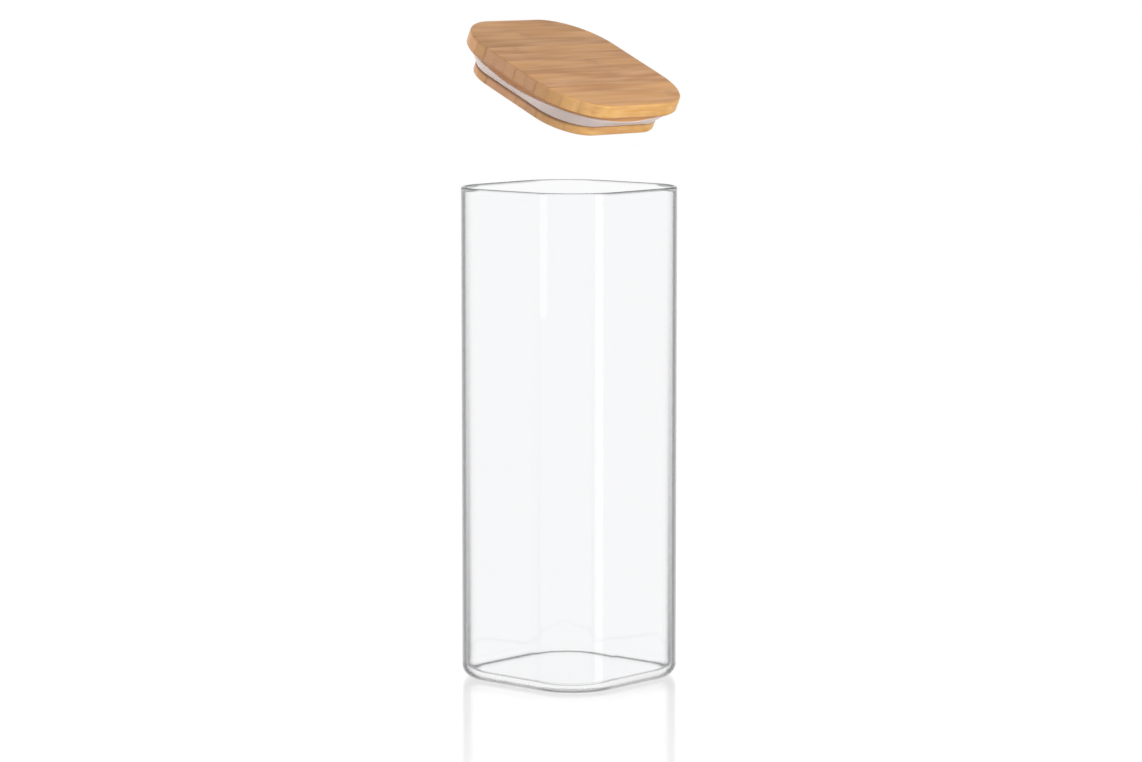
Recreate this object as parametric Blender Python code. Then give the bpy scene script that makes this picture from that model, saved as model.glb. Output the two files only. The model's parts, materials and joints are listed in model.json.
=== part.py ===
"""Square glass storage jar with a laminated bamboo plug lid and its silicone seal.

Metres, +Z up. The origin is the centre of the glass base and the bamboo strips run
along X. The lid stands open over the mouth, tilted about an axis parallel to X.
"""

import math

import bmesh
import bpy
from mathutils import Vector

# Glass jar, blown square with round corners and a fire-polished rim
JAR_SIDE = 0.1000
JAR_HEIGHT = 0.2654
CORNER_RADIUS = 0.0308
GLASS_WALL = 0.0022
GLASS_FLOOR = 0.0032
BASE_ROUNDING = 0.0064
FLOOR_ROUNDING = 0.0045

# Bamboo lid, one laminated block with a groove routed round it
BOARD_OVERHANG = 0.0010
BOARD_THICKNESS = 0.0082
BOARD_ROUNDING = 0.0010
BOARD_CHAMFER = 0.0013
GROOVE_HEIGHT = 0.0083
GROOVE_DEPTH = 0.0040
FOOT_CLEARANCE = 0.0051
FOOT_THICKNESS = 0.0051
FOOT_ROUNDING = 0.0009
STAVE_COUNT = 13
EDGE_SEAM_CLEARANCE = 0.00045
GLUE_GAP = 0.0003

# Silicone seal: a collar in the groove and a flap that flares up to the lip
SEAL_CLEARANCE = 0.0003
COLLAR_THICKNESS = 0.0020
WEB_THICKNESS = 0.0012
FLAP_THICKNESS = 0.0010
LIP_DROP = 0.0010

# The open lid has swung up from its seat about an axis beside the jar
SEAT_GAP = 0.0003
LID_TILT = math.radians(25)
AXIS_REACH = 0.1330
AXIS_RISE = 0.0179

# Facets of a quarter turn, in plan and in section
CORNER_STEPS = 12
ROUNDING_STEPS = 6
MERGE_DISTANCE = 0.000001

# Finishes; each stave is a little lighter or darker than the lid's mean colour
GLASS_COLOUR = (0.96, 0.975, 0.975)
GLASS_IOR = 1.47
BAMBOO_COLOUR = (0.56, 0.33, 0.16)
SILICONE_COLOUR = (0.62, 0.56, 0.60)
STAVE_TONE_SHARES = (1.06, 0.98, 1.08, 0.96, 1.02, 0.90, 1.04, 0.95, 1.07, 0.88, 1.00, 0.93, 0.97)

# Half widths from the jar's axis; every outline shares the centres of its round corners
CORNER_CENTRE = JAR_SIDE / 2 - CORNER_RADIUS
OUTER_HALF = JAR_SIDE / 2
NECK_HALF = OUTER_HALF - GLASS_WALL
BOARD_HALF = OUTER_HALF + BOARD_OVERHANG
FOOT_HALF = NECK_HALF - FOOT_CLEARANCE
CORE_HALF = FOOT_HALF - GROOVE_DEPTH
EDGE_SEAM_HALF = FOOT_HALF + EDGE_SEAM_CLEARANCE
SEAT_HEIGHT = JAR_HEIGHT + SEAT_GAP
AXIS = Vector((0, -AXIS_REACH, SEAT_HEIGHT + BOARD_THICKNESS + AXIS_RISE))


def corner_of(co):
    """The centre of the round corner that a point lies on."""
    return Vector((math.copysign(CORNER_CENTRE, co.x), math.copysign(CORNER_CENTRE, co.y), co.z))


def outline(bm, half_width, height):
    """The edges of a level square ring with round corners."""
    radius = half_width - CORNER_CENTRE
    ring = []
    for corner in range(4):
        middle = math.radians(90 * corner + 45)
        centre = corner_of(Vector((math.cos(middle), math.sin(middle), height)))
        for step in range(CORNER_STEPS + 1):
            angle = math.radians(90 * (corner + step / CORNER_STEPS))
            ring.append(bm.verts.new(centre + radius * Vector((math.cos(angle), math.sin(angle), 0))))
    return [bm.edges.new((ring[i - 1], ring[i])) for i in range(len(ring))]


def arc(half_width, height, radius, start, end):
    """Points of a section's arc about a centre, between two angles in degrees."""
    points = []
    for step in range(ROUNDING_STEPS + 1):
        angle = math.radians(start + (end - start) * step / ROUNDING_STEPS)
        points.append((half_width + radius * math.cos(angle), height + radius * math.sin(angle)))
    return points


def loft(section, ring_shaped=False):
    """Draw an outline along a section, given as (half width, height), into a closed body."""
    bm = bmesh.new()
    ring = outline(bm, *section[0])
    if not ring_shaped:
        bmesh.ops.edgeloop_fill(bm, edges=ring)
    for half_width, height in section[1:]:
        drawn = bmesh.ops.extrude_edge_only(bm, edges=ring)["geom"]
        moved = [item for item in drawn if isinstance(item, bmesh.types.BMVert)]
        ring = [item for item in drawn if isinstance(item, bmesh.types.BMEdge)]
        for vert in moved:
            centre = corner_of(vert.co)
            vert.co = centre + (half_width - CORNER_CENTRE) * (vert.co - centre).normalized()
            vert.co.z = height
    if ring_shaped:
        bmesh.ops.remove_doubles(bm, verts=bm.verts, dist=MERGE_DISTANCE)
    else:
        bmesh.ops.edgeloop_fill(bm, edges=ring)
    bmesh.ops.recalc_face_normals(bm, faces=bm.faces)
    return bm


def cut_away(bm, place, normal):
    """Cut a closed body by a plane, drop the side that the normal points to and cap the cut."""
    everything = bm.verts[:] + bm.edges[:] + bm.faces[:]
    cut = bmesh.ops.bisect_plane(bm, geom=everything, plane_co=place, plane_no=normal, clear_outer=True)
    edges = [item for item in cut["geom_cut"] if isinstance(item, bmesh.types.BMEdge)]
    bmesh.ops.edgeloop_fill(bm, edges=edges)


def finish(name, colour, roughness, **sockets):
    """A material of one colour; sockets names any further Principled inputs."""
    material = bpy.data.materials.new(name + "_finish")
    material.use_nodes = True
    shader = material.node_tree.nodes["Principled BSDF"]
    shader.inputs["Base Color"].default_value = (*colour, 1)
    shader.inputs["Roughness"].default_value = roughness
    shader.inputs["Metallic"].default_value = 0
    for socket, value in sockets.items():
        shader.inputs[socket].default_value = value
    return material


def place(bm, name, material, parent=None):
    """Turn a bmesh into a named object, smooth on its round faces."""
    mesh = bpy.data.meshes.new(name)
    bm.to_mesh(mesh)
    bm.free()
    mesh.shade_smooth()
    mesh.set_sharp_from_angle(angle=math.radians(30))
    mesh.materials.append(material)
    piece = bpy.data.objects.new(name, mesh)
    piece.parent = parent
    bpy.context.scene.collection.objects.link(piece)
    return piece


def jar_section():
    """From the middle of the base, up the outside, over the rim and down to the inner floor."""
    rim = GLASS_WALL / 2
    section = arc(OUTER_HALF - BASE_ROUNDING, BASE_ROUNDING, BASE_ROUNDING, -90, 0)
    section += arc(OUTER_HALF - rim, JAR_HEIGHT - rim, rim, 0, 180)
    section += arc(NECK_HALF - FLOOR_ROUNDING, GLASS_FLOOR + FLOOR_ROUNDING, FLOOR_ROUNDING, 0, -90)
    return section


def lid_section():
    """From the top of the board down to the foot; the board's underside is at height 0."""
    section = arc(BOARD_HALF - BOARD_ROUNDING, BOARD_THICKNESS - BOARD_ROUNDING, BOARD_ROUNDING, 90, 0)
    section += [(BOARD_HALF, BOARD_CHAMFER), (BOARD_HALF - BOARD_CHAMFER, 0)]
    section += [(CORE_HALF, 0), (CORE_HALF, -GROOVE_HEIGHT), (FOOT_HALF, -GROOVE_HEIGHT)]
    foot_bottom = -GROOVE_HEIGHT - FOOT_THICKNESS
    section += arc(FOOT_HALF - FOOT_ROUNDING, foot_bottom + FOOT_ROUNDING, FOOT_ROUNDING, 0, -90)
    return section


def seal_section():
    """Collar, web and flap, round the seal's section; the board's underside is at height 0."""
    top = -SEAL_CLEARANCE
    bottom = SEAL_CLEARANCE - GROOVE_HEIGHT
    inner = CORE_HALF + SEAL_CLEARANCE
    collar = inner + COLLAR_THICKNESS
    web = bottom + WEB_THICKNESS
    flap_foot = Vector((FOOT_HALF, bottom))
    lip = Vector((NECK_HALF - SEAL_CLEARANCE, -LIP_DROP))
    along = (lip - flap_foot).normalized()
    across = Vector((-along.y, along.x))
    lip_back = lip + FLAP_THICKNESS * across
    flap_back = lip_back + along * ((web - lip_back.y) / along.y)
    return [(inner, top), (inner, bottom), flap_foot, lip, lip_back, flap_back, (collar, web),
            (collar, top), (inner, top)]


def seat(bm):
    """Move a lid piece to its seat on the rim, measured from the axis that it swings about."""
    bmesh.ops.translate(bm, verts=bm.verts, vec=Vector((0, 0, SEAT_HEIGHT)) - AXIS)


def make_jar():
    glass = finish("glass_jar", GLASS_COLOUR, 0.02, **{"IOR": GLASS_IOR, "Transmission Weight": 1})
    place(loft(jar_section()), "glass_jar", glass)


def make_staves(parent):
    """Slice the routed block along its glue lines into strips, from the axis's side across.

    The outermost strips lie outside the foot and the others share the width between them.
    """
    width = 2 * EDGE_SEAM_HALF / (STAVE_COUNT - 2)
    for index in range(STAVE_COUNT):
        bm = loft(lid_section())
        far_seam = index * width - EDGE_SEAM_HALF
        if index > 0:
            cut_away(bm, (0, far_seam - width + GLUE_GAP / 2, 0), (0, -1, 0))
        if index < STAVE_COUNT - 1:
            cut_away(bm, (0, far_seam - GLUE_GAP / 2, 0), (0, 1, 0))
        seat(bm)
        name = f"bamboo_stave_{index + 1:02d}"
        tone = STAVE_TONE_SHARES[index % len(STAVE_TONE_SHARES)]
        place(bm, name, finish(name, [tone * value for value in BAMBOO_COLOUR], 0.45), parent)


def make_seal(parent):
    bm = loft(seal_section(), ring_shaped=True)
    seat(bm)
    silicone = finish("silicone_seal", SILICONE_COLOUR, 0.4, **{"Subsurface Weight": 0.2})
    place(bm, "silicone_seal", silicone, parent)


def make_lid():
    swing = bpy.data.objects.new("lid_axis", None)
    swing.location = AXIS
    swing.rotation_euler.x = LID_TILT
    bpy.context.scene.collection.objects.link(swing)
    make_staves(swing)
    make_seal(swing)


for old in list(bpy.data.objects):
    bpy.data.objects.remove(old, do_unlink=True)
make_jar()
make_lid()
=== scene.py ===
"""Square glass storage jar with its bamboo plug lid, open over the mouth, in a white studio."""

import json
import math

import bmesh
import bpy
from mathutils import Matrix, Vector


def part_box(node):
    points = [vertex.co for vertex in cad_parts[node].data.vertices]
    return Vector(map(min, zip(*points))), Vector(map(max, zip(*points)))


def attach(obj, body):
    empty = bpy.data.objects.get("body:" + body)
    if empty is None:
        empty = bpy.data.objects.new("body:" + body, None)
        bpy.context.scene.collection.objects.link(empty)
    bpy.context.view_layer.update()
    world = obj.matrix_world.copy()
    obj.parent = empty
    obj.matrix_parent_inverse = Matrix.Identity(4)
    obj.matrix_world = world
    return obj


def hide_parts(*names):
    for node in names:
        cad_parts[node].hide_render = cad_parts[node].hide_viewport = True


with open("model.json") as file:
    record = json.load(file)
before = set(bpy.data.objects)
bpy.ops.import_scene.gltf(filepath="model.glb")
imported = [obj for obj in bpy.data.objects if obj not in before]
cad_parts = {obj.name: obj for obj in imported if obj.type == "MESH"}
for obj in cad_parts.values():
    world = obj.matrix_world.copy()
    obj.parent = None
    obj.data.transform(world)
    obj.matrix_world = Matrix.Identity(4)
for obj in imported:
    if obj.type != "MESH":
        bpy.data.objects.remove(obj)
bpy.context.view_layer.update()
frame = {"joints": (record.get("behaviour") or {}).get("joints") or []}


# Glass jar: borosilicate glass, blown in a square mould with round corners.
# The walls are thin and even, the base is flat and a little thicker, and the rim was
# melted round in a flame.
glass_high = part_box("glass_jar")[1]
OUTER_HALF = glass_high.x
JAR_HEIGHT = glass_high.z
CORNER_RADIUS = 0.0308
CORNER_CENTRE = OUTER_HALF - CORNER_RADIUS
GLASS_WALL = 0.0022
GLASS_FLOOR = 0.0032
BASE_ROUNDING = 0.0064
FLOOR_ROUNDING = 0.0045
NECK_HALF = OUTER_HALF - GLASS_WALL
RIM_RADIUS = GLASS_WALL / 2

# Flat rings beside the roundings, which keep the wide flat faces evenly shaded; over the
# inner floor's ring the painted shade at the floor's edge fades out
FLAT_MARGIN = 0.0010
FLOOR_MARGIN = 0.0040

# Facets of a corner in plan and of the roundings in section
CORNER_STEPS = 32
ROUNDING_STEPS = 12
BASE_STEPS = 24
RIM_STEPS = 16

# Points nearer than this are merged, and edges that turn more than this are shaded sharp
MERGE_DISTANCE = 0.000001
SHARP_ANGLE = math.radians(32)

# Where a section sags, how far from the middle of a side the sag ends
SAG_REACH = 1.8 * CORNER_CENTRE

WHITE = (1, 1, 1, 1)
BLACK = (0, 0, 0, 1)
GLASS_COLOUR = (0.965, 0.967, 0.972, 1)
# The dark colour that the painted shade gives the glass's edges
GLASS_PAINTED_SHADE_COLOUR = (0.026, 0.027, 0.030, 1)
GLASS_IOR = 1.47

# The mould's faint waves: how many to a metre across and up the jar, how high they are and
# how strongly they show
WAVES = (26, 26, 8)
WAVE_HEIGHT = 0.0001
WAVE_STRENGTH = 0.2

# Painted shade: how grey the glass's colour turns where it is seen more and more edge-on,
# and within what angle of the flat walls that begins
EDGE_SHADE_STOPS = [(0.40, 0.0), (0.50, 0.12), (0.56, 0.30), (0.61, 0.60), (0.65, 0.95), (0.72, 1.0),
                    (0.78, 0.92), (1.0, 0.80)]
CORNER_FADE = math.radians(11)

# Painted shade on the base's rounding, the rim and the floor's rounding: how grey it turns
# them at most (shade), how much sooner than on the upright corners (reach), the rim's own
# corners soonest, and how see-through the base's rounding is (thinning)
BASE_SHADE = 0.97
BASE_REACH = 0.22
BASE_THINNING = 0.28
RIM_SHADE = 0.92
RIM_REACH = 0.27
RIM_CORNER_REACH = 0.10
FLOOR_SHADE = 1.0

# Painted glow on the top of the rim, in place of the light that the wall leads up to it:
# how strongly it glows, how fast that fades down its sides, and how it ends where the rim is
# seen edge-on
RIM_PAINTED_GLOW = 0.34
GLOW_FALL = 4
GLOW_STOPS = [(0.30, 1), (0.60, 0)]


def centre_of(co):
    """The point nearest to another on the square between the round corners' centres."""
    across = max(-CORNER_CENTRE, min(CORNER_CENTRE, co.x))
    along = max(-CORNER_CENTRE, min(CORNER_CENTRE, co.y))
    return Vector((across, along, co.z))


def arc(half_width, height, radius, start, end, steps=ROUNDING_STEPS):
    """Points of a section's arc about a centre, between two angles in degrees."""
    points = []
    for step in range(steps + 1):
        angle = math.radians(start + (end - start) * step / steps)
        points.append((half_width + radius * math.cos(angle), height + radius * math.sin(angle)))
    return points


def draw(section, side_cuts=0, ring_shaped=False):
    """Draw a square with round corners along a section of (half width, height) points.

    A point's third value, if it has one, is how much lower it lies in the middle of the sides.
    The sides then need side_cuts, and a ring-shaped section ends at its first point.
    """
    bm = bmesh.new()
    rings = bm.verts.layers.float.new("ring")
    half_width, height = section[0]
    place = Matrix.Translation((0, 0, height))
    bmesh.ops.create_grid(bm, x_segments=1, y_segments=1, size=half_width, matrix=place)
    bmesh.ops.bevel(bm, geom=bm.verts[:], offset=half_width - CORNER_CENTRE, segments=CORNER_STEPS,
                    profile=0.5, affect="VERTICES", material=-1)
    if side_cuts:
        sides = [edge for edge in bm.edges if edge.calc_length() > CORNER_CENTRE]
        bmesh.ops.subdivide_edges(bm, edges=sides, cuts=side_cuts)
    if ring_shaped:
        bmesh.ops.delete(bm, geom=bm.faces[:], context="FACES_ONLY")
    ring = bm.edges[:]
    for index, (half_width, height, *sag) in enumerate(section[1:], 1):
        drawn = bmesh.ops.extrude_edge_only(bm, edges=ring)["geom"]
        ring = [item for item in drawn if isinstance(item, bmesh.types.BMEdge)]
        for vert in {vert for edge in ring for vert in edge.verts}:
            centre = centre_of(vert.co)
            aside = min(1, min(abs(vert.co.x), abs(vert.co.y)) / SAG_REACH)
            vert.co = centre + (half_width - CORNER_CENTRE) * (vert.co - centre).normalized()
            vert.co.z = height - sum(sag) * (1 - aside ** 2) ** 2
            vert[rings] = index
    if ring_shaped:
        bmesh.ops.remove_doubles(bm, verts=bm.verts, dist=MERGE_DISTANCE)
    else:
        bmesh.ops.edgeloop_fill(bm, edges=ring)
    bmesh.ops.recalc_face_normals(bm, faces=bm.faces)
    return bm


def make_piece(bm, name, material, body, slot, *nodes):
    """Turn a bmesh into a smooth-shaded piece that stands for CAD nodes and rides on a body."""
    mesh = bpy.data.meshes.new(name)
    bm.to_mesh(mesh)
    bm.free()
    mesh.shade_smooth()
    mesh.set_sharp_from_angle(angle=SHARP_ANGLE)
    mesh.materials.append(material)
    piece = bpy.data.objects.new(name, mesh)
    bpy.context.scene.collection.objects.link(piece)
    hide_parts(*nodes)
    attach(piece, body)


class Signal:
    """A node's output socket, on which shader maths is written as plain arithmetic."""

    def __init__(self, finish, socket):
        self.finish = finish
        self.socket = socket

    def join(self, operation, first, second):
        settings = {"operation": operation}
        return self.finish.node("ShaderNodeMath", settings, {0: first, 1: second})

    def __add__(self, other):
        return self.join("ADD", self, other)

    def __mul__(self, other):
        return self.join("MULTIPLY", self, other)

    def __rsub__(self, other):
        return self.join("SUBTRACT", other, self)

    def __sub__(self, other):
        return self.join("SUBTRACT", self, other)

    def __truediv__(self, other):
        return self.join("DIVIDE", self, other)

    __radd__ = __add__
    __rmul__ = __mul__

    def between(self, least, most):
        """Stretch a share of 0 to 1 so that it runs from the least value to the most."""
        return self * (most - least) + least


class Finish:
    """The nodes of a material or of the world."""

    def __init__(self, owner):
        owner.use_nodes = True
        self.tree = owner.node_tree

    def node(self, kind, settings=None, inputs=None, output=0):
        """Add a node with its settings, then its inputs' values or links, and give an output."""
        node = self.tree.nodes.new(kind)
        for name, value in (settings or {}).items():
            if name == "stops":
                set_stops(node.color_ramp, value)
            else:
                setattr(node, name, value)
        for name, value in (inputs or {}).items():
            self.feed(node.inputs[name], value)
        return Signal(self, node.outputs[output])

    def axes(self, vector):
        """Split a vector into its three components."""
        first = self.node("ShaderNodeSeparateXYZ", inputs={0: vector})
        return [Signal(self, socket) for socket in first.socket.node.outputs]

    def read(self, attribute):
        """Read a number that the mesh carries."""
        return self.node("ShaderNodeAttribute", {"attribute_name": attribute}, output="Fac")

    def ramp(self, value, *stops):
        """Turn a value into another through stops of (value, result)."""
        stops = [(position, (result, result, result, 1)) for position, result in stops]
        return self.node("ShaderNodeValToRGB", {"stops": stops}, {"Fac": value})

    def rise(self, value, start, full):
        """Turn a value into a share that grows from 0 at the start to 1 at full."""
        return self.ramp(value, (start, 0), (full, 1))

    def feed(self, socket, value):
        if isinstance(value, Signal):
            self.tree.links.new(value.socket, socket)
        else:
            socket.default_value = value

    def mix(self, share, first, second):
        """Mix two colours."""
        settings = {"data_type": "RGBA"}
        return self.node("ShaderNodeMix", settings, {0: share, 6: first, 7: second}, output=2)

    def surface(self, inputs):
        """Set or link the sockets of the Principled shader."""
        shader = self.tree.nodes["Principled BSDF"]
        for name, value in inputs.items():
            self.feed(shader.inputs[name], value)


def set_stops(ramp, stops):
    """Place a ramp's stops, given as (position, colour) in rising order."""
    for element, (position, colour) in zip(ramp.elements, (stops[0], stops[-1])):
        element.position = position
        element.color = colour
    for position, colour in stops[1:-1]:
        ramp.elements.new(position).color = colour


def glass_finish():
    """Clear, faintly wavy glass, with painted shade on its round edges and a painted glow on its rim."""
    material = bpy.data.materials.new("clear_glass")
    finish = Finish(material)
    place = finish.node("ShaderNodeTexCoord", output="Object")
    stretched = finish.node("ShaderNodeMapping", inputs={"Vector": place, "Scale": WAVES})
    wave = finish.node("ShaderNodeTexNoise", inputs={"Vector": stretched, "Scale": 1.0, "Detail": 0.0})
    bump = finish.node("ShaderNodeBump", inputs={
        "Height": wave, "Distance": WAVE_HEIGHT, "Strength": WAVE_STRENGTH})
    facing = finish.node("ShaderNodeLayerWeight", output="Facing")
    # Painted shade: the glass's colour turns grey on its round edges where they are seen edge-on
    shade = finish.ramp(facing + finish.read("reach"), *EDGE_SHADE_STOPS) * finish.read("bend")
    # Painted glow on the top of the rim
    light = finish.ramp(facing, *GLOW_STOPS) * finish.read("glow")
    finish.surface({"Base Color": finish.mix(shade, GLASS_COLOUR, GLASS_PAINTED_SHADE_COLOUR),
                    "Roughness": 0.0, "IOR": GLASS_IOR, "Transmission Weight": 1.0, "Normal": bump,
                    "Alpha": 1 - finish.read("thin"), "Emission Strength": RIM_PAINTED_GLOW,
                    "Emission Color": finish.mix(light, BLACK, WHITE)})
    return material


def mark_edges(bm, outside, rim, last):
    """Note on the glass how strongly (bend) and how soon (reach) painted shade greys its round parts.

    The base's rounding is also noted as thin, because light that it leads up the wall would
    leave it black, and the top of the rim as glowing with painted light, in place of the light
    that the wall leads to it.
    The first points of the section, as many as outside says, lie on the outside, and the next,
    as many as rim says, on the rim; last is the number of its last point.
    """
    bend = bm.verts.layers.float.new("bend")
    reach = bm.verts.layers.float.new("reach")
    thin = bm.verts.layers.float.new("thin")
    glow = bm.verts.layers.float.new("glow")
    ring = bm.verts.layers.float["ring"]
    for vert in bm.verts:
        spoke = vert.co - centre_of(vert.co)
        off_flat = math.atan2(min(abs(spoke.x), abs(spoke.y)), max(abs(spoke.x), abs(spoke.y)))
        cornered = min(1, off_flat / CORNER_FADE)
        if vert[ring] < outside:
            lift = min(1, vert.co.z / BASE_ROUNDING)
            vert[bend] = cornered * lift + BASE_SHADE * (1 - lift)
            vert[reach] = BASE_REACH * (1 - lift)
            vert[thin] = BASE_THINNING * (1 - lift)
        elif vert[ring] < outside + rim:
            vert[bend] = RIM_SHADE
            vert[reach] = RIM_REACH + RIM_CORNER_REACH * cornered
            # The top of the rim gets the painted glow
            up_the_rim = (vert.co.z - JAR_HEIGHT) / RIM_RADIUS + 1
            vert[glow] = max(0, up_the_rim) ** GLOW_FALL
        elif vert.co.z < GLASS_FLOOR + FLOOR_ROUNDING:
            vert[bend] = FLOOR_SHADE if vert[ring] < last else 0


base = [(OUTER_HALF - BASE_ROUNDING - FLAT_MARGIN, 0)]
base += arc(OUTER_HALF - BASE_ROUNDING, BASE_ROUNDING, BASE_ROUNDING, -90, 0, BASE_STEPS)
neck = [(OUTER_HALF, JAR_HEIGHT - GLASS_WALL)]
rim = arc(OUTER_HALF - RIM_RADIUS, JAR_HEIGHT - RIM_RADIUS, RIM_RADIUS, 0, 180, RIM_STEPS)
inside = [(NECK_HALF, JAR_HEIGHT - GLASS_WALL)]
inside += arc(NECK_HALF - FLOOR_ROUNDING, GLASS_FLOOR + FLOOR_ROUNDING, FLOOR_ROUNDING, 0, -90,
              BASE_STEPS)
inside += [(NECK_HALF - FLOOR_ROUNDING - FLOOR_MARGIN, GLASS_FLOOR)]
section = base + neck + rim + inside
bm = draw(section)
mark_edges(bm, outside=len(base + neck), rim=len(rim), last=len(section) - 1)
make_piece(bm, "clear_glass_jar", glass_finish(), "jar", "glass", "glass_jar")


# Bamboo lid: strips of bamboo glued edge to edge into one block, cut to the jar's outline.
# A groove routed round it leaves a board on top, with a shallow land under it, and a
# smaller foot that drops into the neck. The edges are sanded and the wood is oiled.
BOARD_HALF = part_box("bamboo_stave_07")[1].x
BOARD_THICKNESS = 0.0082
BOARD_ROUNDING = 0.0010
BOARD_CHAMFER = 0.0013
GROOVE_HEIGHT = 0.0083
GROOVE_DEPTH = 0.0040
FOOT_CLEARANCE = 0.0051
FOOT_HALF = NECK_HALF - FOOT_CLEARANCE
FOOT_THICKNESS = 0.0051
FOOT_ROUNDING = 0.0009
CORE_HALF = FOOT_HALF - GROOVE_DEPTH
SEAT_GAP = 0.0003

# The land under the board, how much deeper it is in the middle of the sides, and how many
# cuts across each side let it bend
LAND_CLEARANCE = 0.0008
LAND_HALF = NECK_HALF - LAND_CLEARANCE
LAND_HEIGHT = 0.0006
LAND_SAG = 0.0028
SIDE_CUTS = 11

# The outermost strips lie outside the foot and the others share the width between them
STAVE_COUNT = 13
EDGE_SEAM_CLEARANCE = 0.00045
EDGE_SEAM_HALF = FOOT_HALF + EDGE_SEAM_CLEARANCE
STAVE_WIDTH = 2 * EDGE_SEAM_HALF / (STAVE_COUNT - 2)
GLUE_LINE = 0.00002

# For each strip, from the axis's side across: how light it is along its length and on its
# ends, and how golden its ends are. The last two strips' ends are lighter, partly as a
# painted highlight.
STAVE_TONE_SHARES = (1.11, 1.08, 1.12, 1.05, 1.07, 0.97, 1.03, 0.95, 1.00, 0.91, 0.97, 0.91, 0.97)
END_TONE_AND_HIGHLIGHT_SHARES = (1.03, 1.07, 0.98, 1.00, 0.92, 0.98, 1.00, 0.97, 0.99, 0.96, 1.12, 1.22, 1.25)
END_GOLD_SHARES = (1.0, 1.0, 0.90, 0.80, 0.25, 0.30, 0.10, 0.05, 0.10, 0.80, 0.30, 0.0, 0.0)

# How dark each glue line shows on the ends, and how far a line's darkness reaches
SEAM_SHARES = (0.90, 0.35, 0.12, 1.0, 0.12, 0.80, 0.10, 0.12, 0.90, 0.30, 0.30, 0.20)
SEAM_REACH = 0.0020

# Where a strip's knuckle lies along it, how wide it is, and how far its ragged edge
# wanders. A strip without one has it a metre away, off the lid.
KNUCKLES = {1: 0.037, 4: 0.0125, 6: 0.0128, 8: -0.031, 10: -0.006, 12: 0.024}
KNUCKLE_WIDTH = 0.0090
KNUCKLE_WANDER = 0.0120
NO_KNUCKLE = 1.0

# Length and width of the wood's marks, from broad drifts of tone to single fibres
DRIFT_SIZE = (0.070, 0.0200)
FLESH_SIZE = (0.048, 0.0044)
GRAIN_SIZE = (0.024, 0.0015)
BLOTCH_SIZE = (0.010, 0.0040)
RAGGED_SIZE = (0.006, 0.0022)
FIBRE_SIZE = (0.050, 0.0007)

# How far one strip's pattern lies from the next one's, so that no two are alike
STRIP_STEP = 3.7

# How a fibre, a knuckle and a glue line fade from their middle outwards
FIBRE_STOPS = [(0.12, 1), (0.34, 0)]
KNUCKLE_STOPS = [(0.0, 1), (0.35, 0.5), (1.0, 0)]
GLUE_STOPS = [(0.05, 1), (0.25, 0.35), (0.80, 0)]

# How much of a tone the wood takes where its mark is strongest. A pair is the least and
# the most of it, as another mark decides.
ROSY_SHARE = 0.45
FLESH_SHARES = (0.30, 0.75)
GRAIN_SHARES = (0.22, 0.42)
AMBER_SHARE = 0.55
END_SHARE = 0.75
RIPE_SHARES = (0.40, 1.15)
PAINTED_SHADE_SHARE = 0.65
GAP_SHADOW_SHARES = (0.15, 0.75)
FIBRE_SHARES = (0.16, 0.38)
KNUCKLE_SHARE = 0.36
GLUE_BLOTCH_SHARES = (0.40, 1.10)
GLUE_SHARES = (0.07, 0.87)

# The board's edge is riper towards one corner: where that starts and where it is full,
# along and across the lid, in shares of its half width
RIPE_ALONG_SHARES = (0.06, 0.40)
RIPE_ACROSS_SHARES = (0.66, 0.80)

# Painted shade darkens the groove and the board's chamfer under its edge, and a painted
# shadow darkens the foot's upper edge under the seal. A sharp step of tone there takes up
# the last of these, a share of the lid's height.
PAINTED_SHADE_FADE = 0.0004
GAP_SHADOW_DEPTH = 0.0015
STEP_SHARE = 0.001

# How deep the glue lines lie in the surface, the fibres and the grain in shares of that,
# and how strongly it shows
GLUE_DEPTH = 0.00006
FIBRE_DEPTH_SHARE = 0.5
GRAIN_DEPTH_SHARE = 0.3
RELIEF_STRENGTH = 0.5

# How rough the oiled wood is, how much rougher flesh and fibres are, and how it shines
WOOD_ROUGHNESS = 0.38
FLESH_ROUGHNESS = 0.10
FIBRE_ROUGHNESS = 0.08
WOOD_SHINE = 0.3

BAMBOO_PALE = (0.650, 0.332, 0.116, 1)
BAMBOO_DEEP = (0.430, 0.192, 0.060, 1)
BAMBOO_ROSY = (0.500, 0.252, 0.112, 1)
BAMBOO_SIDE = (0.715, 0.458, 0.166, 1)
BAMBOO_AMBER = (0.540, 0.245, 0.050, 1)
BAMBOO_RIPE = (0.460, 0.235, 0.055, 1)
BAMBOO_END_ROSY = (0.590, 0.322, 0.186, 1)
BAMBOO_END_GOLD = (0.605, 0.342, 0.146, 1)
# Painted shade for the groove and the board's chamfer
BAMBOO_PAINTED_SHADE = (0.400, 0.160, 0.044, 1)
BAMBOO_FIBRE = (0.330, 0.150, 0.052, 1)
BAMBOO_SEAM = (0.260, 0.110, 0.036, 1)
# Painted shadow for the foot's upper edge
BAMBOO_GAP_SHADOW = (0.165, 0.070, 0.030, 1)

swing = frame["joints"][0]
lid_axis = Vector(swing["pos_m"])
LID_TILT = -math.radians(swing["range_deg"][0])
lid_place = (Matrix.Translation(lid_axis) @ Matrix.Rotation(LID_TILT, 4, "X")
             @ Matrix.Translation(Vector((0, 0, JAR_HEIGHT + SEAT_GAP)) - lid_axis))


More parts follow.
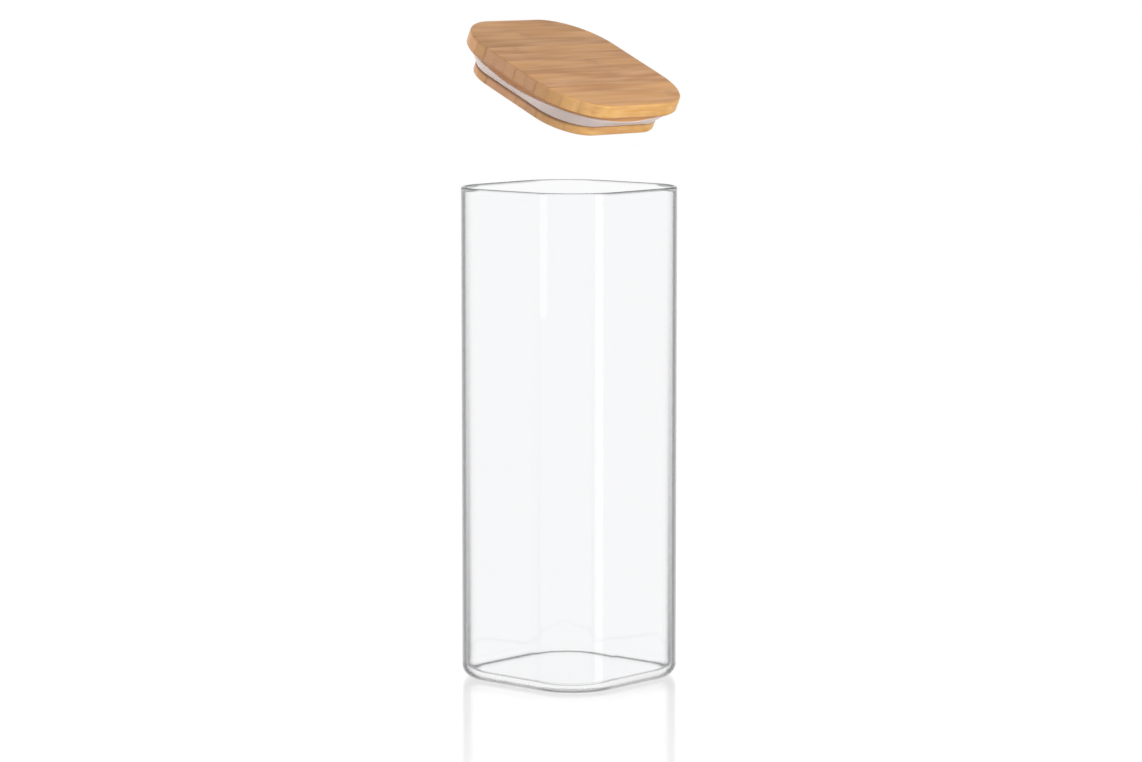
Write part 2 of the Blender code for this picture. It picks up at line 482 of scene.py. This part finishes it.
def lid_section():
    """From the top of the board down to the foot; the board's underside is at height 0."""
    section = [(BOARD_HALF - BOARD_ROUNDING - FLAT_MARGIN, BOARD_THICKNESS)]
    section += arc(BOARD_HALF - BOARD_ROUNDING, BOARD_THICKNESS - BOARD_ROUNDING, BOARD_ROUNDING, 90, 0)
    section += [(BOARD_HALF, BOARD_CHAMFER), (BOARD_HALF - BOARD_CHAMFER, 0)]
    section += [(LAND_HALF, 0), (LAND_HALF, -LAND_HEIGHT, LAND_SAG), (CORE_HALF, -LAND_HEIGHT, LAND_SAG)]
    section += [(CORE_HALF, -GROOVE_HEIGHT), (FOOT_HALF, -GROOVE_HEIGHT)]
    foot_bottom = -GROOVE_HEIGHT - FOOT_THICKNESS
    section += arc(FOOT_HALF - FOOT_ROUNDING, foot_bottom + FOOT_ROUNDING, FOOT_ROUNDING, 0, -90)
    section += [(FOOT_HALF - FOOT_ROUNDING - FLAT_MARGIN, foot_bottom)]
    return section


def cut_away(bm, across, normal):
    """Cut the block along a glue line, drop the side that the normal points to and cap the cut."""
    everything = bm.verts[:] + bm.edges[:] + bm.faces[:]
    cut = bmesh.ops.bisect_plane(bm, geom=everything, plane_co=(0, across, 0), plane_no=normal,
                                 clear_outer=True)
    edges = [item for item in cut["geom_cut"] if isinstance(item, bmesh.types.BMEdge)]
    bmesh.ops.edgeloop_fill(bm, edges=edges)


def bamboo_finish():
    """Oiled bamboo: soft streaks, fibres that end in dots, knuckles, glue lines and painted shade."""
    material = bpy.data.materials.new("oiled_bamboo")
    finish = Finish(material)

    # The pattern is laid out on a level lid, whose board has its underside at height 0
    level_lid = lid_place.inverted()
    tilted = finish.node("ShaderNodeTexCoord", output="Object")
    place = finish.node("ShaderNodeMapping", inputs={
        "Vector": tilted, "Location": level_lid.to_translation(), "Rotation": level_lid.to_euler()})
    along, across, up = finish.axes(place)
    strip = finish.read("strip")

    def drawn_out(size):
        """Coordinates in which a mark of this length and width is 1 long and 1 wide."""
        length, width = size
        return finish.node("ShaderNodeMapping", inputs={
            "Vector": place, "Scale": (1 / length, 1 / width, 1 / width)})

    def streaks(size, detail, seed):
        """Noise drawn out along the strip, different in each strip."""
        return finish.node("ShaderNodeTexNoise", {"noise_dimensions": "4D"}, {
            "Vector": drawn_out(size), "W": strip * STRIP_STEP + seed, "Scale": 1.0, "Detail": detail})

    drift = finish.rise(streaks(DRIFT_SIZE, detail=1.0, seed=60), start=0.34, full=0.66)
    flesh = finish.rise(streaks(FLESH_SIZE, detail=1.0, seed=0), start=0.36, full=0.64)
    grain = finish.rise(streaks(GRAIN_SIZE, detail=2.0, seed=20), start=0.44, full=0.68)
    blotch = finish.rise(streaks(BLOTCH_SIZE, detail=2.0, seed=80), start=0.48, full=0.70)
    end_grain = finish.rise(finish.read("end"), start=0.30, full=0.85)
    side_grain = finish.rise(finish.read("side"), start=0.30, full=0.80)
    pale = finish.mix(side_grain, BAMBOO_PALE, BAMBOO_SIDE)
    colour = finish.mix(drift * ROSY_SHARE, pale, BAMBOO_ROSY)
    streak = flesh * drift.between(*FLESH_SHARES) + grain * drift.between(*GRAIN_SHARES)
    colour = finish.mix(streak, colour, BAMBOO_DEEP)
    colour = finish.mix(blotch * side_grain * AMBER_SHARE, colour, BAMBOO_AMBER)
    end_colour = finish.mix(finish.read("gold"), BAMBOO_END_ROSY, BAMBOO_END_GOLD)
    colour = finish.mix(end_grain * END_SHARE, colour, end_colour)

    far_along = finish.rise(along / BOARD_HALF, *RIPE_ALONG_SHARES)
    far_across = finish.rise(across / -BOARD_HALF, *RIPE_ACROSS_SHARES)
    edge = finish.rise(finish.read("side") + finish.read("end"), start=0.30, full=0.80)
    ripe = far_along * far_across * edge * blotch.between(*RIPE_SHARES)
    colour = finish.mix(ripe, colour, BAMBOO_RIPE)

    # Level runs from 0 at the foot's underside to 1 at the top of the board
    below = FOOT_THICKNESS + GROOVE_HEIGHT
    tall = below + BOARD_THICKNESS
    level = (up + below) / tall
    foot_top = FOOT_THICKNESS / tall
    chamfer_top = (below + BOARD_CHAMFER) / tall
    # Painted shade on the groove, the land and the board's chamfer
    painted_shade = finish.ramp(level, (foot_top, 0), (foot_top + STEP_SHARE, PAINTED_SHADE_SHARE),
                           (chamfer_top, PAINTED_SHADE_SHARE), (chamfer_top + PAINTED_SHADE_FADE / tall, 0))
    colour = finish.mix(painted_shade, colour, BAMBOO_PAINTED_SHADE)
    # Painted shadow along the foot's upper edge, stronger on the end grain, which lies in shade
    gap_shadow = finish.ramp(level, ((FOOT_THICKNESS - GAP_SHADOW_DEPTH) / tall, 0),
                        ((FOOT_THICKNESS - GAP_SHADOW_DEPTH / 3) / tall, 1),
                        (foot_top + STEP_SHARE, 1), (foot_top + 2 * STEP_SHARE, 0))
    colour = finish.mix(gap_shadow * end_grain.between(*GAP_SHADOW_SHARES), colour, BAMBOO_GAP_SHADOW)

    bundle = finish.node("ShaderNodeTexVoronoi", inputs={"Vector": drawn_out(FIBRE_SIZE), "Scale": 1.0})
    fibre = finish.ramp(bundle, *FIBRE_STOPS)
    colour = finish.mix(fibre * end_grain.between(*FIBRE_SHARES), colour, BAMBOO_FIBRE)

    ragged = streaks(RAGGED_SIZE, detail=1.0, seed=40)
    off_knuckle = finish.node("ShaderNodeMath", {"operation": "ABSOLUTE"},
                              {0: along - finish.read("knuckle") + (ragged - 0.5) * KNUCKLE_WANDER})
    knuckle = finish.ramp(off_knuckle / KNUCKLE_WIDTH, *KNUCKLE_STOPS)
    colour = finish.mix(knuckle * (1 - end_grain) * KNUCKLE_SHARE, colour, BAMBOO_FIBRE)

    # Count is a whole number at each glue line
    count = (across + EDGE_SEAM_HALF) / STAVE_WIDTH
    off_seam = finish.node("ShaderNodeMath", {"operation": "PINGPONG"}, {0: count, 1: 0.5})
    seam = finish.ramp(off_seam * STAVE_WIDTH / SEAM_REACH, *GLUE_STOPS)
    seams = len(SEAM_SHARES) - 1
    stops = [(index / seams, share) for index, share in enumerate(SEAM_SHARES)]
    darkness = finish.ramp(count / seams, *stops) * end_grain * blotch.between(*GLUE_BLOTCH_SHARES)
    colour = finish.mix(seam * darkness.between(*GLUE_SHARES), colour, BAMBOO_SEAM)
    colour = finish.node("ShaderNodeVectorMath", {"operation": "SCALE"},
                         {0: colour, "Scale": finish.read("tone")})

    relief = -1 * (seam + fibre * FIBRE_DEPTH_SHARE + grain * GRAIN_DEPTH_SHARE)
    bump = finish.node("ShaderNodeBump", inputs={
        "Height": relief, "Distance": GLUE_DEPTH, "Strength": RELIEF_STRENGTH})
    roughness = flesh * FLESH_ROUGHNESS + fibre * FIBRE_ROUGHNESS + WOOD_ROUGHNESS
    finish.surface({"Base Color": colour, "Roughness": roughness, "Normal": bump,
                    "Specular IOR Level": WOOD_SHINE})
    return material


oiled_bamboo = bamboo_finish()
for index in range(STAVE_COUNT):
    bm = draw(lid_section(), side_cuts=SIDE_CUTS)
    far_seam = index * STAVE_WIDTH - EDGE_SEAM_HALF
    if index > 0:
        cut_away(bm, far_seam - STAVE_WIDTH + GLUE_LINE / 2, (0, -1, 0))
    if index < STAVE_COUNT - 1:
        cut_away(bm, far_seam - GLUE_LINE / 2, (0, 1, 0))
    tone = bm.faces.layers.float.new("tone")
    strip = bm.faces.layers.float.new("strip")
    knuckle = bm.faces.layers.float.new("knuckle")
    end = bm.faces.layers.float.new("end")
    side = bm.faces.layers.float.new("side")
    gold = bm.faces.layers.float.new("gold")
    bm.normal_update()
    for face in bm.faces:
        face[end] = abs(face.normal.x)
        # On the ends, the tone of the last two strips also carries a painted highlight
        face[tone] = STAVE_TONE_SHARES[index] * (1 - face[end]) + END_TONE_AND_HIGHLIGHT_SHARES[index] * face[end]
        face[strip] = index
        face[knuckle] = KNUCKLES.get(index, NO_KNUCKLE)
        face[side] = abs(face.normal.y)
        face[gold] = END_GOLD_SHARES[index]
    bmesh.ops.transform(bm, matrix=lid_place, verts=bm.verts)
    make_piece(bm, f"oiled_bamboo_stave_{index + 1:02d}", oiled_bamboo, "lid", "bamboo",
               f"bamboo_stave_{index + 1:02d}")


# Seal: one moulded ring of translucent silicone, stretched over the foot into the groove.
# A thin flap flares out and up from its lower edge and bends against the glass. Its lip
# hangs lower in the middle of the sides, where no corner holds it up.
SEAL_CLEARANCE = 0.0003
COLLAR_THICKNESS = 0.0020
WEB_THICKNESS = 0.0012
FLAP_THICKNESS = 0.0010
LIP_DROP = 0.0010

SILICONE_COLOUR = (0.84, 0.655, 0.60, 1)
SILICONE_CLOUD_COLOUR = (0.76, 0.62, 0.59, 1)

# Clouds in the silicone and specks of dust on it, both to a metre, how high the specks are
# and how strongly they show, and how rough it is where it is clear and where it is cloudy
CLOUDS = 90.0
DUST_SPECKS = 2500.0
DUST_HEIGHT = 0.00004
DUST_STRENGTH = 0.4
SILICONE_ROUGHNESS = (0.38, 0.50)

# How much of the light goes into the silicone, and how far its red, green and blue reach
INNER_LIGHT_SHARE = 0.6
INNER_LIGHT_REACH = (0.004, 0.0036, 0.004)


def seal_section():
    """Collar, web and flap, round the seal's section; the board's underside is at height 0."""
    top = -LAND_HEIGHT - LAND_SAG - SEAL_CLEARANCE
    bottom = SEAL_CLEARANCE - GROOVE_HEIGHT
    inner = CORE_HALF + SEAL_CLEARANCE
    collar = inner + COLLAR_THICKNESS
    web = bottom + WEB_THICKNESS
    flap_foot = Vector((FOOT_HALF, bottom))
    lip = Vector((NECK_HALF - SEAL_CLEARANCE, -LIP_DROP))
    along = (lip - flap_foot).normalized()
    across = Vector((-along.y, along.x))
    lip_back = lip + FLAP_THICKNESS * across
    flap_back = lip_back + along * ((web - lip_back.y) / along.y)
    return [(inner, top), (inner, bottom), flap_foot, (*lip, LAND_SAG), (*lip_back, LAND_SAG),
            flap_back, (collar, web), (collar, top), (inner, top)]


def silicone_finish():
    """Cloudy silicone with a dusty surface, which lets light a few millimetres in."""
    material = bpy.data.materials.new("translucent_silicone")
    finish = Finish(material)
    place = finish.node("ShaderNodeTexCoord", output="Object")
    cloud = finish.node("ShaderNodeTexNoise", inputs={"Vector": place, "Scale": CLOUDS, "Detail": 2.0})
    dust = finish.node("ShaderNodeTexNoise", inputs={
        "Vector": place, "Scale": DUST_SPECKS, "Detail": 1.0})
    bump = finish.node("ShaderNodeBump", inputs={
        "Height": dust, "Distance": DUST_HEIGHT, "Strength": DUST_STRENGTH})
    finish.surface({"Base Color": finish.mix(cloud, SILICONE_COLOUR, SILICONE_CLOUD_COLOUR),
                    "Roughness": cloud.between(*SILICONE_ROUGHNESS), "Normal": bump,
                    "Subsurface Weight": INNER_LIGHT_SHARE, "Subsurface Radius": INNER_LIGHT_REACH,
                    "Subsurface Scale": 1.0})
    return material


bm = draw(seal_section(), side_cuts=SIDE_CUTS, ring_shaped=True)
bmesh.ops.transform(bm, matrix=lid_place, verts=bm.verts)
make_piece(bm, "translucent_silicone_seal", silicone_finish(), "lid", "silicone", "silicone_seal")


# Studio: white surroundings, a white floor that shows the jar faintly mirrored, and two
# softboxes that light the wood and the seal. Glossy surfaces mirror two fainter lamps
# instead of them, and look through the floor, as if the jar stood on a glass table.
FLOOR_RADIUS = 5.0
FLOOR_DROP = 0.0002
FLOOR_SIDES = 64
FLOOR_GLOW = 0.92
FLOOR_COLOUR = (0.8, 0.8, 0.8, 1)
FLOOR_SHADOW_COLOUR = (0.20, 0.20, 0.20, 1)
POLISH_ROUGHNESS = 0.12
POLISH_IOR = 1.45
WORLD_LIGHT = 0.37

bm = bmesh.new()
bmesh.ops.create_circle(bm, cap_ends=True, segments=FLOOR_SIDES, radius=FLOOR_RADIUS,
                        matrix=Matrix.Translation((0, 0, -FLOOR_DROP)))
floor_mesh = bpy.data.meshes.new("floor")
bm.to_mesh(floor_mesh)
bm.free()
floor = bpy.data.objects.new("floor", floor_mesh)
bpy.context.scene.collection.objects.link(floor)


def seen_rays(finish):
    """1 for what the camera sees by itself or through glass, 0 for light on its way."""
    straight = finish.node("ShaderNodeLightPath", output="Is Camera Ray")
    through = finish.node("ShaderNodeLightPath", output="Is Transmission Ray")
    return finish.node("ShaderNodeMath", {"operation": "MAXIMUM"}, {0: straight, 1: through})


def mirrored_rays(finish):
    """1 for what a glossy surface mirrors, 0 for everything else."""
    return finish.node("ShaderNodeLightPath", output="Is Glossy Ray")


floor_material = bpy.data.materials.new("white_floor")
paint = Finish(floor_material)
shining = paint.node("ShaderNodeEmission", inputs={"Color": WHITE, "Strength": FLOOR_GLOW})
matt = paint.node("ShaderNodeBsdfDiffuse", inputs={"Color": FLOOR_COLOUR})
shaded = paint.node("ShaderNodeBsdfDiffuse", inputs={"Color": FLOOR_SHADOW_COLOUR})
lit = paint.node("ShaderNodeAddShader", inputs={0: shining, 1: shaded})
shown = paint.node("ShaderNodeMixShader", inputs={0: seen_rays(paint), 1: matt, 2: lit})
mirror = paint.node("ShaderNodeBsdfGlossy", inputs={"Color": WHITE, "Roughness": POLISH_ROUGHNESS})
grazing = paint.node("ShaderNodeFresnel", inputs={"IOR": POLISH_IOR})
polished = paint.node("ShaderNodeMixShader", inputs={0: grazing, 1: shown, 2: mirror})
clear = paint.node("ShaderNodeBsdfTransparent")
table = paint.node("ShaderNodeMixShader", inputs={0: mirrored_rays(paint), 1: polished, 2: clear})
paint.tree.links.new(table.socket, paint.tree.nodes["Material Output"].inputs["Surface"])
floor_mesh.materials.append(floor_material)

world = bpy.data.worlds.new("studio")
bpy.context.scene.world = world
air = Finish(world)
seen = air.node("ShaderNodeMath", {"operation": "MAXIMUM"}, {0: seen_rays(air), 1: mirrored_rays(air)})
backdrop = air.tree.nodes["Background"]
air.feed(backdrop.inputs["Color"], WHITE)
air.feed(backdrop.inputs["Strength"], seen.between(WORLD_LIGHT, 1))


def softbox(name, azimuth, distance, height, width, tall, radiance):
    """A tall rectangular lamp at an azimuth round the jar, facing it."""
    lamp = bpy.data.lights.new(name, "AREA")
    lamp.shape = "RECTANGLE"
    lamp.size = width
    lamp.size_y = tall
    lamp.energy = radiance * math.pi * width * tall
    box = bpy.data.objects.new(name, lamp)
    angle = math.radians(azimuth)
    box.location = (distance * math.sin(angle), -distance * math.cos(angle), height)
    inward = Vector((-box.location.x, -box.location.y, 0))
    box.rotation_euler = inward.to_track_quat("-Z", "Y").to_euler()
    box.visible_camera = False
    box.visible_transmission = False
    bpy.context.scene.collection.objects.link(box)
    return box


key_softbox = softbox("key_softbox", azimuth=5, distance=1.6, height=0.15, width=0.49, tall=2.2,
                      radiance=12.6)
side_softbox = softbox("side_softbox", azimuth=-135, distance=1.9, height=0.9, width=1.6, tall=1.8,
                       radiance=2.6)
for box in (key_softbox, side_softbox):
    box.visible_glossy = False

key_shine = softbox("key_shine", azimuth=5, distance=1.5, height=0.15, width=0.46, tall=2.1,
                    radiance=1.6)
side_shine = softbox("side_shine", azimuth=-106.5, distance=1.6, height=0.63, width=0.46, tall=1.2,
                     radiance=1.2)
for box in (key_shine, side_shine):
    box.visible_diffuse = False


# Camera: a long lens two metres away, a little above the open lid, which looks at the
# corner between an end-grain side and a long-grain side.
CAMERA_AZIMUTH = math.radians(-48.57)
CAMERA_PITCH = math.radians(6.73)
CAMERA_DISTANCE = 2.1128
CAMERA_LENS = 123.74
SENSOR_WIDTH = 36
AIM_HEIGHT = 0.16038
AIM_RIGHT = 0.00098

away = Vector((-math.sin(CAMERA_AZIMUTH), math.cos(CAMERA_AZIMUTH), 0))
right = Vector((math.cos(CAMERA_AZIMUTH), math.sin(CAMERA_AZIMUTH), 0))
looking = away * math.cos(CAMERA_PITCH) - Vector((0, 0, math.sin(CAMERA_PITCH)))
camera = bpy.data.objects.new("camera", bpy.data.cameras.new("camera"))
camera.data.lens = CAMERA_LENS
camera.data.sensor_width = SENSOR_WIDTH
camera.location = Vector((0, 0, AIM_HEIGHT)) + AIM_RIGHT * right - CAMERA_DISTANCE * looking
camera.rotation_euler = looking.to_track_quat("-Z", "Y").to_euler()
bpy.context.scene.collection.objects.link(camera)
bpy.context.scene.camera = camera
bpy.context.scene.view_settings.view_transform = "Standard"
